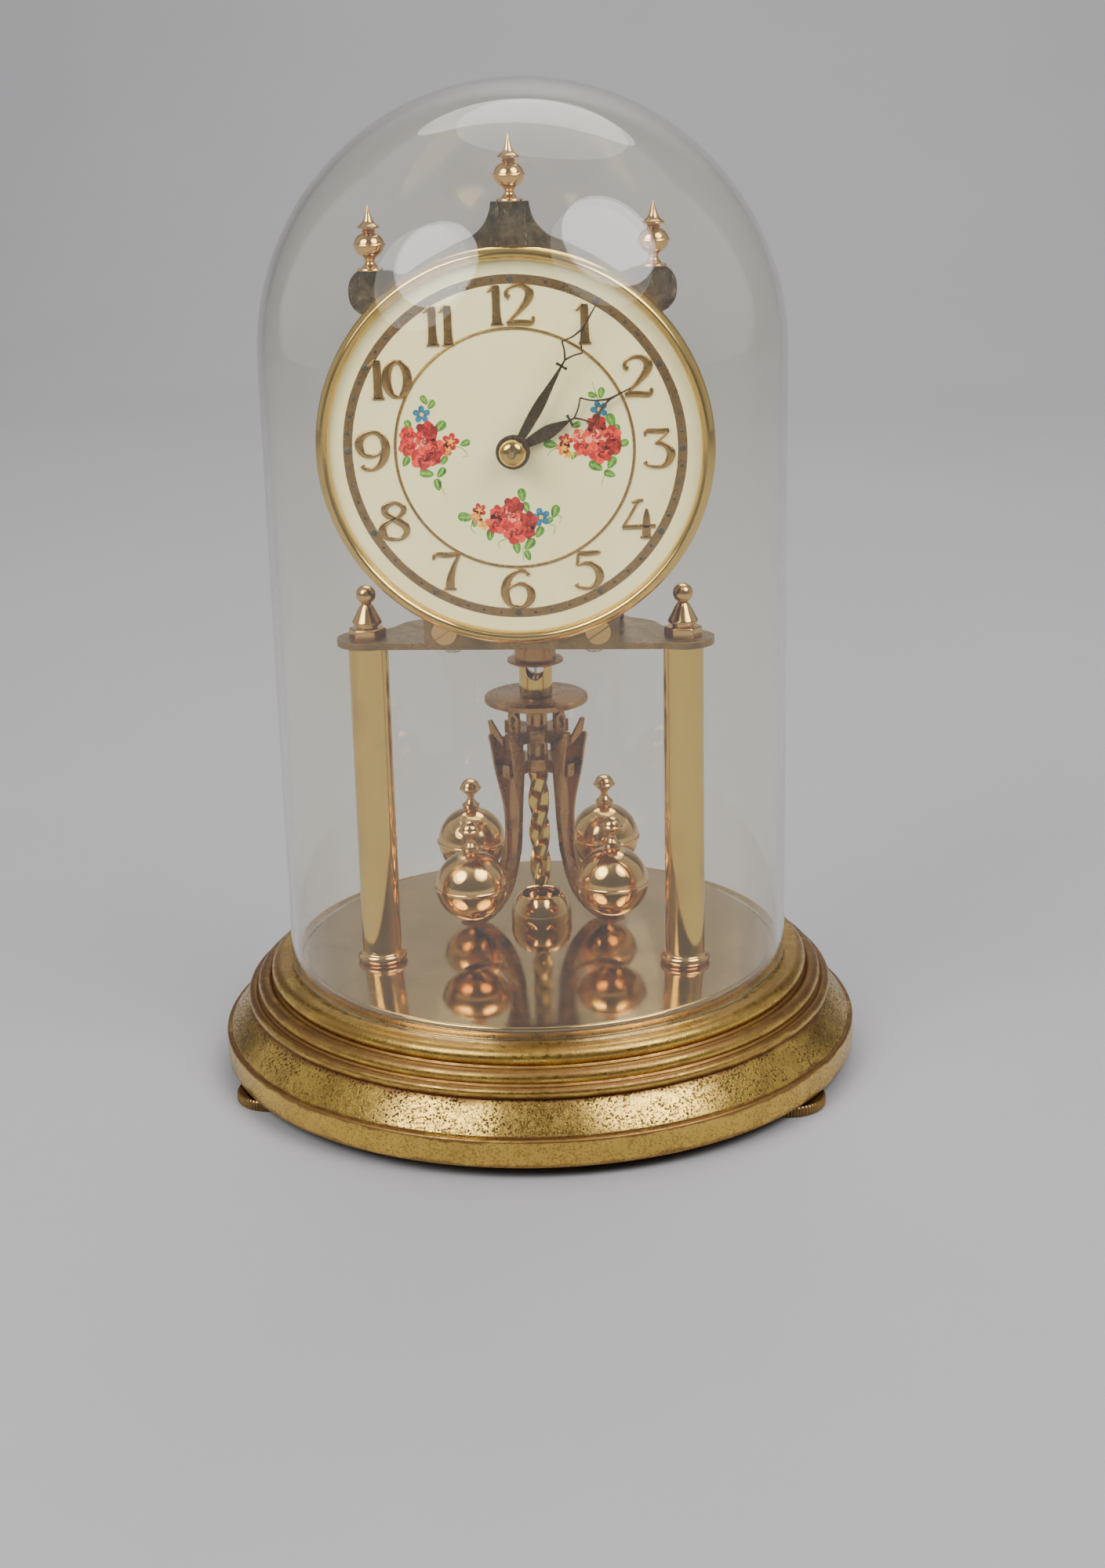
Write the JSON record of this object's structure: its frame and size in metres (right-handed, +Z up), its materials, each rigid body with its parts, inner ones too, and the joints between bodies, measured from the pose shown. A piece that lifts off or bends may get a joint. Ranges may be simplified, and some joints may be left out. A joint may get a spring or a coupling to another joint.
{
  "type": "anniversary clock",
  "caption": "Torsion-pendulum mantel clock: round spun brass base, glass dome, two pillars, flowered dial and a slowly twisting pendulum with four balls.",
  "frame": {"origin": "centre of the round base on the table, under the dome's axis", "axes": "+Z up, the dial faces -Y, +X to the right of someone facing the dial"},
  "size_m": [0.1944, 0.1944, 0.291],
  "materials": {
    "aged_brass": "spun brass with dark pits and brown patina in the crevices",
    "polished_brass": "polished and lacquered",
    "rose_brass": "polished, warm toned",
    "dull_brass": "dull and darkened",
    "tarnished_brass": "heavily tarnished with bright cut edges",
    "copper_brown": "copper brown toned brass",
    "steel": "fine brushed steel",
    "blued_bronze": "dark bronzed steel",
    "dial_enamel": "cream dial with painted flowers and raised gilt numerals",
    "dome_glass": "clear blown glass, faintly yellow"
  },
  "bodies": {
    "frame": {"base_shell": "aged_brass", "base_plate": "rose_brass", "guide_cup": "rose_brass", "pillar_tubes": "polished_brass", "pillar_collars": "rose_brass", "pillar_bolts": "steel", "pillar_hex_nuts": "rose_brass", "pillar_finials": "rose_brass", "platform": "dull_brass", "guard_bush": "dull_brass", "front_plate": "polished_brass", "back_plate": "polished_brass", "plate_posts": "dull_brass", "plate_screws": "steel", "platform_screws": "steel", "dial": "dial_enamel", "bezel": "polished_brass", "crown_plate": "tarnished_brass", "crown_finials": "rose_brass", "anchor_bridge": "dull_brass", "suspension_bracket": "dull_brass", "back_screws": "steel", "suspension_top_block": "polished_brass", "suspension_spring": "steel"},
    "dome": {"glass_dome": "dome_glass"},
    "foot_right": {"levelling_foot_right": "rose_brass"},
    "foot_left": {"levelling_foot_left": "rose_brass"},
    "foot_back": {"levelling_foot_back": "rose_brass"},
    "centre_arbor": {"centre_wheel": "polished_brass", "cannon_pinion": "steel", "minute_hand": "blued_bronze", "hand_nut": "polished_brass"},
    "hour_pipe": {"hour_wheel": "polished_brass", "hour_hand": "blued_bronze"},
    "minute_work": {"minute_wheel": "polished_brass"},
    "third_arbor": {"third_wheel": "polished_brass"},
    "second_arbor": {"second_wheel": "polished_brass"},
    "barrel_drum": {"barrel": "polished_brass", "mainspring": "steel"},
    "escape_arbor": {"escape_wheel": "polished_brass"},
    "winding_arbor": {"barrel_arbor": "steel", "ratchet_wheel": "steel"},
    "click_lever": {"click": "steel"},
    "anchor_lever": {"anchor": "steel"},
    "fork": {"suspension_fork": "polished_brass"},
    "pendulum": {"pendulum_head": "polished_brass", "suspension_bottom_block": "polished_brass", "pendulum_rod": "copper_brown", "arm_bracket": "copper_brown", "twisted_rod": "copper_brown"},
    "regulator": {"regulating_disc": "rose_brass"},
    "slider": {"slider_bracket": "copper_brown"},
    "arm_fl": {"arm_front_left": "copper_brown", "ball_front_left": "rose_brass"},
    "arm_fr": {"arm_front_right": "copper_brown", "ball_front_right": "rose_brass"},
    "arm_br": {"arm_back_right": "copper_brown", "ball_back_right": "rose_brass"},
    "arm_bl": {"arm_back_left": "copper_brown", "ball_back_left": "rose_brass"}
  },
  "joints": [
    {"name": "dome_lift", "type": "slide", "parent": "frame", "child": "dome", "axis": [0, 0, 1], "range_m": [0, 0.27]},
    {"name": "foot_right_turn", "type": "hinge", "parent": "frame", "child": "foot_right", "pos_m": [0.07664, -0.04425, 0.008], "axis": [0, 0, 1], "continuous": true},
    {"name": "foot_left_turn", "type": "hinge", "parent": "frame", "child": "foot_left", "pos_m": [-0.07664, -0.04425, 0.008], "axis": [0, 0, 1], "continuous": true},
    {"name": "foot_back_turn", "type": "hinge", "parent": "frame", "child": "foot_back", "pos_m": [0, 0.0862, 0.008], "axis": [0, 0, 1], "continuous": true},
    {"name": "hands_turn", "type": "hinge", "parent": "frame", "child": "centre_arbor", "pos_m": [0, 0, 0.1924], "axis": [0, 1, 0], "continuous": true},
    {"name": "hour_turn", "type": "hinge", "parent": "frame", "child": "hour_pipe", "pos_m": [0, 0, 0.1924], "axis": [0, 1, 0], "continuous": true},
    {"name": "minute_work_turn", "type": "hinge", "parent": "frame", "child": "minute_work", "pos_m": [-0.00413, 0, 0.1865], "axis": [0, 1, 0], "continuous": true},
    {"name": "third_turn", "type": "hinge", "parent": "frame", "child": "third_arbor", "pos_m": [0.01185, 0, 0.18706], "axis": [0, 1, 0], "continuous": true},
    {"name": "second_turn", "type": "hinge", "parent": "frame", "child": "second_arbor", "pos_m": [0.01102, 0, 0.17409], "axis": [0, 1, 0], "continuous": true},
    {"name": "barrel_turn", "type": "hinge", "parent": "frame", "child": "barrel_drum", "pos_m": [-0.006, 0, 0.1595], "axis": [0, 1, 0], "continuous": true},
    {"name": "escape_turn", "type": "hinge", "parent": "frame", "child": "escape_arbor", "pos_m": [-0.01059, 0, 0.19994], "axis": [0, 1, 0], "continuous": true},
    {"name": "winding_turn", "type": "hinge", "parent": "frame", "child": "winding_arbor", "pos_m": [-0.006, 0, 0.1595], "axis": [0, 1, 0], "continuous": true},
    {"name": "click_pivot", "type": "hinge", "parent": "frame", "child": "click_lever", "pos_m": [0.0046, 0, 0.1647], "axis": [0, 1, 0], "range_deg": [-20, 0]},
    {"name": "pendulum_twist", "type": "hinge", "parent": "frame", "child": "pendulum", "pos_m": [0, 0.015, 0.1], "axis": [0, 0, 1], "range_deg": [-150, 150]},
    {"name": "fork_turn", "type": "hinge", "parent": "frame", "child": "fork", "pos_m": [0, 0.015, 0.2256], "axis": [0, 0, 1], "range_deg": [-12, 12]},
    {"name": "anchor_rock", "type": "hinge", "parent": "frame", "child": "anchor_lever", "pos_m": [0, 0, 0.2062], "axis": [0, 1, 0], "range_deg": [-6, 6]},
    {"name": "regulator_turn", "type": "hinge", "parent": "pendulum", "child": "regulator", "pos_m": [0, 0.015, 0.1078], "axis": [0, 0, 1], "range_deg": [-360, 360]},
    {"name": "slider_lift", "type": "slide", "parent": "pendulum", "child": "slider", "axis": [0, 0, 1], "range_m": [-0.0004, 0.0004]},
    {"name": "arm_fl_swing", "type": "hinge", "parent": "pendulum", "child": "arm_fl", "pos_m": [-0.0078, 0.00536, 0.0872], "axis": [-0.7771, 0.6293, 0], "range_deg": [-4, 4]},
    {"name": "arm_fr_swing", "type": "hinge", "parent": "pendulum", "child": "arm_fr", "pos_m": [0.00964, 0.0072, 0.0872], "axis": [-0.6293, -0.7771, 0], "range_deg": [-4, 4]},
    {"name": "arm_br_swing", "type": "hinge", "parent": "pendulum", "child": "arm_br", "pos_m": [0.0078, 0.02464, 0.0872], "axis": [0.7771, -0.6293, 0], "range_deg": [-4, 4]},
    {"name": "arm_bl_swing", "type": "hinge", "parent": "pendulum", "child": "arm_bl", "pos_m": [-0.00964, 0.0228, 0.0872], "axis": [0.6293, 0.7771, 0], "range_deg": [-4, 4]}
  ],
  "couplings": [
    {"joint": "hour_turn", "follows": "hands_turn", "ratio": 0.083333},
    {"joint": "minute_work_turn", "follows": "hands_turn", "ratio": -0.33333},
    {"joint": "third_turn", "follows": "hands_turn", "ratio": -0.083333},
    {"joint": "second_turn", "follows": "hands_turn", "ratio": 0.0069444},
    {"joint": "barrel_turn", "follows": "hands_turn", "ratio": -0.000643},
    {"joint": "escape_turn", "follows": "hands_turn", "ratio": -12},
    {"joint": "fork_turn", "follows": "pendulum_twist", "ratio": 0.07},
    {"joint": "anchor_rock", "follows": "pendulum_twist", "ratio": 0.0339},
    {"joint": "slider_lift", "follows": "regulator_turn", "m_per_rad": 0.00006366},
    {"joint": "arm_fl_swing", "follows": "regulator_turn", "ratio": 0.011111},
    {"joint": "arm_fr_swing", "follows": "regulator_turn", "ratio": 0.011111},
    {"joint": "arm_br_swing", "follows": "regulator_turn", "ratio": 0.011111},
    {"joint": "arm_bl_swing", "follows": "regulator_turn", "ratio": 0.011111}
  ]
}
